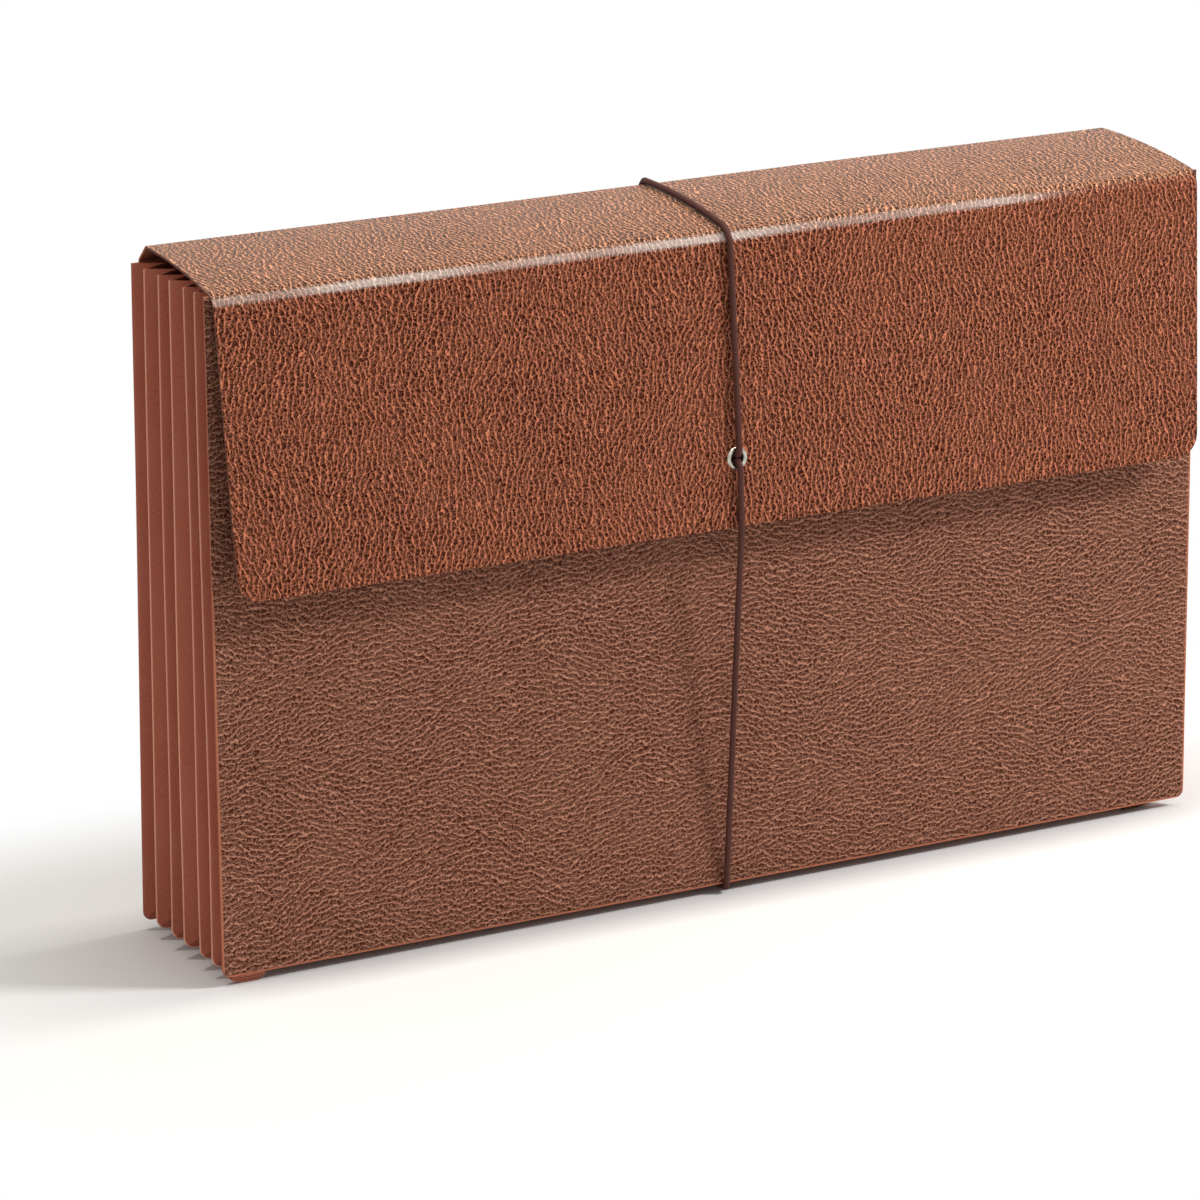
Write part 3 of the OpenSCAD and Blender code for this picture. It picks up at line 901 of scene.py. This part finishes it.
def turned(name, profile, material, segments):
    """Ring turned from a closed profile of (radius, out from the flap), set on the flap at the eyelet."""
    at = off_flap(0, eyelet_below)
    points, faces = [], []
    n = len(profile)
    for s in range(segments):
        a = 2 * math.pi * s / segments
        for r, out in profile:
            y, z = at + out * flap_out - r * math.sin(a) * flap_down
            points.append((r * math.cos(a), y, z))
    for s in range(segments):
        t = (s + 1) % segments
        for i in range(n):
            j = (i + 1) % n
            faces.append([s * n + i, s * n + j, t * n + j, t * n + i])
    return make_mesh(name, points, faces, [material], [0] * len(faces))


def make_eyelet():
    """Eyelet rolled over both faces of the flap, with its barrel between them."""
    roll = [(RIM_R + ROLL_W * math.cos(a), ROLL_R * math.sin(a)) for a in np.linspace(0, math.pi, 16)]
    rear = [(r, -BOARD_T - out) for r, out in reversed(roll)]
    # The barrel bites a little into the hole's rim
    wall = HOLE_R + 0.1
    profile = roll + rear + [(wall, -BOARD_T), (wall, 0.0)]
    piece = turned("eyelet_ring", profile, metal, segments=72)
    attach(piece, "flap")
    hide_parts("eyelet")


def cord_route():
    """Middle line of the cord as section points, once round the wallet from the eyelet, and its length."""
    off = CORD_D / 2 + CORD_GAP
    strand = RIM_R - ROLL_R - off
    foot = np.array([FRONT_Y, PANEL_Z])
    low = foot - flap_end
    low_a = angle_of((low[1], -low[0]))
    rear = BOARD_T + ROLL_R
    line = [off_flap(rear, eyelet_below - strand)]
    line += arc(off_flap(0, eyelet_below - RIM_R), ROLL_R + off, 270 - flap_tilt, flap_a, 10)
    line += arc(bend_c, BEND_R + off, flap_a, crown_front_a, 14)
    line += arc(crown_c, CROWN_R + off, crown_front_a, crown_back_a, 20)
    line += arc(back_crease, off, crown_back_a, lean_a, 6)
    line += arc(lean_start, off, lean_a, 0, 6)
    line += arc(np.array([BACK_Y, PANEL_Z]), off, 0, -90, 8)
    line += arc(foot, off, -90, low_a, 8)
    line += arc(flap_end, off, low_a + 360, flap_a, 3)
    line += arc(off_flap(0, eyelet_below + RIM_R), ROLL_R + off, flap_a, 90 - flap_tilt, 10)
    line.append(off_flap(rear, eyelet_below + strand))
    line = np.array([(spread(y, z), z) for y, z in line])
    # Two arcs may meet in the same point, and one of the two goes
    apart = np.concatenate([[True], np.linalg.norm(np.diff(line, axis=0), axis=1) > 0.02])
    line = line[apart]
    run = run_along(line)
    even = np.linspace(0, run[-1], int(run[-1] / CORD_STEP))
    return np.stack([np.interp(even, run, line[:, 0]), np.interp(even, run, line[:, 1])], axis=1), run[-1]


def tube(name, points, radius, material, sides):
    """Braided tube along 3-D points, with raised strands that cross round it."""
    points = np.array(points)
    along = np.gradient(points, axis=0)
    along /= np.linalg.norm(along, axis=1)[:, None]
    # Any direction does to start from, if the line doesn't run along it
    first = np.cross(along[0], (0.31, 0.52, 0.8))
    normals = [first / np.linalg.norm(first)]
    for t in along[1:]:
        n = normals[-1] - (normals[-1] @ t) * t
        normals.append(n / np.linalg.norm(n))
    run = run_along(points)
    verts, uv, faces = [], [], []
    for i, (p, t, n) in enumerate(zip(points, along, normals)):
        b = np.cross(t, n)
        twist = STRAND_TURN * run[i]
        for k in range(sides):
            a = 2 * math.pi * k / sides
            lift = max(math.sin(STRANDS * a + twist), math.sin(STRANDS * a - twist))
            r = radius * (1 - STRAND_LIFT + STRAND_LIFT * lift)
            verts.append(p + r * (math.cos(a) * n + math.sin(a) * b))
            uv.append((k / sides, run[i]))
    for i in range(len(points) - 1):
        for k in range(sides):
            m = (k + 1) % sides
            faces.append([i * sides + k, i * sides + m, (i + 1) * sides + m, (i + 1) * sides + k])
    faces.append(list(range(sides - 1, -1, -1)))
    faces.append([len(verts) - sides + k for k in range(sides)])
    return make_mesh(name, verts, faces, [material], [0] * len(faces), uv)


def make_cord():
    """Elastic loop round the wallet, which rides with the flap."""
    line, length = cord_route()
    path = [(0.0, y, z) for y, z in line]
    cord = tube("elastic_loop", path, CORD_D / 2, elastic, sides=18)
    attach(cord, "flap")
    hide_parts("elastic_cord")
    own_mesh(cord)
    knot = make_knot()


def make_knot():
    """Both ends of the cord tied in one small knot behind the flap."""
    middle = off_flap(BOARD_T + ROLL_R + KNOT_L / 2, eyelet_below)
    points = []
    for i in range(KNOT_POINTS):
        t = 2 * math.pi * i / (KNOT_POINTS - 1)
        ring = KNOT_RING_R + KNOT_SWING * math.cos(3 * t)
        depth = KNOT_DEPTH * math.sin(3 * t)
        y, z = middle - depth * flap_out - ring * math.sin(2 * t) * flap_down
        points.append((ring * math.cos(2 * t), y, z))
    knot = tube("elastic_knot", points, KNOT_STRAND_R, elastic, sides=14)
    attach(knot, "flap")
    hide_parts("cord_knot")
    return knot


make_eyelet()
make_cord()


# Stage, light and camera


def white_seen(nodes):
    """Socket that is 1 for rays that look at a surface straight, in a gloss or through glass."""
    path = nodes.add("LightPath")
    total = path.outputs["Is Camera Ray"]
    for name in ("Is Glossy Ray", "Is Transmission Ray"):
        total = nodes.math("ADD", total, path.outputs[name])
        total.node.use_clamp = True
    return total


def make_world():
    """Even pale light from all sides, seen as plain white."""
    world = bpy.data.worlds.new("studio")
    bpy.context.scene.world = world
    world.use_nodes = True
    nodes = Nodes(world.node_tree)
    ambient = nodes.tree.nodes["Background"]
    ambient.inputs["Color"].default_value = (1.0, 0.985, 0.965, 1.0)
    ambient.inputs["Strength"].default_value = 0.45
    white = nodes.add("Background", Color=(1.0, 1.0, 1.0, 1.0), Strength=1.0)
    seen = nodes.mix_shaders(white_seen(nodes), ambient.outputs[0], white.outputs[0])
    nodes.put(nodes.tree.nodes["World Output"].inputs["Surface"], seen)


def make_floor():
    """Pale floor that shows the wallet's shadow near it, and is seen as plain white further off."""
    mesh = bpy.data.meshes.new("floor")
    corners = [(x * FLOOR_HALF, y * FLOOR_HALF, FLOOR_Z) for x, y in ((-1, -1), (1, -1), (1, 1), (-1, 1))]
    mesh.from_pydata(corners, [], [[0, 1, 2, 3]])
    floor = bpy.data.objects.new("floor", mesh)
    bpy.context.scene.collection.objects.link(floor)
    material = bpy.data.materials.new("floor_paper")
    material.use_nodes = True
    nodes = Nodes(material.node_tree)
    nodes.tree.nodes.clear()
    matte = nodes.add("BsdfDiffuse", Color=(0.82, 0.82, 0.82, 1.0))
    glow = nodes.add("Emission", Color=(1.0, 1.0, 1.0, 1.0))
    away = nodes.vector("ABSOLUTE", nodes.add("NewGeometry").outputs["Position"])
    away = nodes.vector("SUBTRACT", away, (BODY_W / 2 * MM, DEPTH / 2 * MM, 0.0))
    away = nodes.vector("LENGTH", nodes.vector("MAXIMUM", away), output="Value")
    share = nodes.math("MULTIPLY", white_seen(nodes), nodes.ramp(away, FADE_FROM, FADE_TO))
    seen = nodes.mix_shaders(share, matte.outputs[0], glow.outputs[0])
    nodes.put(nodes.add("OutputMaterial").inputs["Surface"], seen)
    mesh.materials.append(material)


def make_lamp(name, place, target, size, power, tint):
    """Rectangular lamp at a place that shines towards a target."""
    lamp = bpy.data.lights.new(name, "AREA")
    lamp.shape = "RECTANGLE"
    lamp.size, lamp.size_y = size
    lamp.energy = power
    lamp.color = tint
    holder = bpy.data.objects.new(name, lamp)
    bpy.context.scene.collection.objects.link(holder)
    holder.location = place
    holder.rotation_mode = "QUATERNION"
    holder.rotation_quaternion = (Vector(target) - Vector(place)).to_track_quat("-Z", "Y")


def make_camera():
    """Camera at the photograph's place, fitted to the wallet's corners."""
    yaw, pitch, roll = (math.radians(a) for a in CAMERA_TURN)
    forward = Vector((math.sin(yaw) * math.cos(pitch), math.cos(yaw) * math.cos(pitch), -math.sin(pitch)))
    level = Vector((math.cos(yaw), -math.sin(yaw), 0.0))
    upright = level.cross(forward)
    right = level * math.cos(roll) + upright * math.sin(roll)
    up = upright * math.cos(roll) - level * math.sin(roll)
    camera = bpy.data.cameras.new("camera")
    camera.sensor_width = 36.0
    camera.lens = 169.4
    camera.clip_start, camera.clip_end = 0.05, 50.0
    holder = bpy.data.objects.new("camera", camera)
    bpy.context.scene.collection.objects.link(holder)
    turn = Matrix((right, up, -forward)).transposed().to_4x4()
    holder.matrix_world = Matrix.Translation(CAMERA_PLACE) @ turn
    bpy.context.scene.camera = holder


make_world()
make_floor()
make_lamp("key", place=(1.16, -0.75, 1.12), target=(0.0, 0.0, 0.12), size=(0.32, 0.32),
          power=21.0, tint=(1.0, 1.0, 1.0))
make_lamp("overhead", place=(0.0, -0.03, 1.3), target=(0.0, -0.03, 0.2), size=(1.0, 0.16),
          power=9.8, tint=(1.0, 0.96, 0.88))
make_camera()
bpy.context.scene.view_settings.view_transform = "Standard"
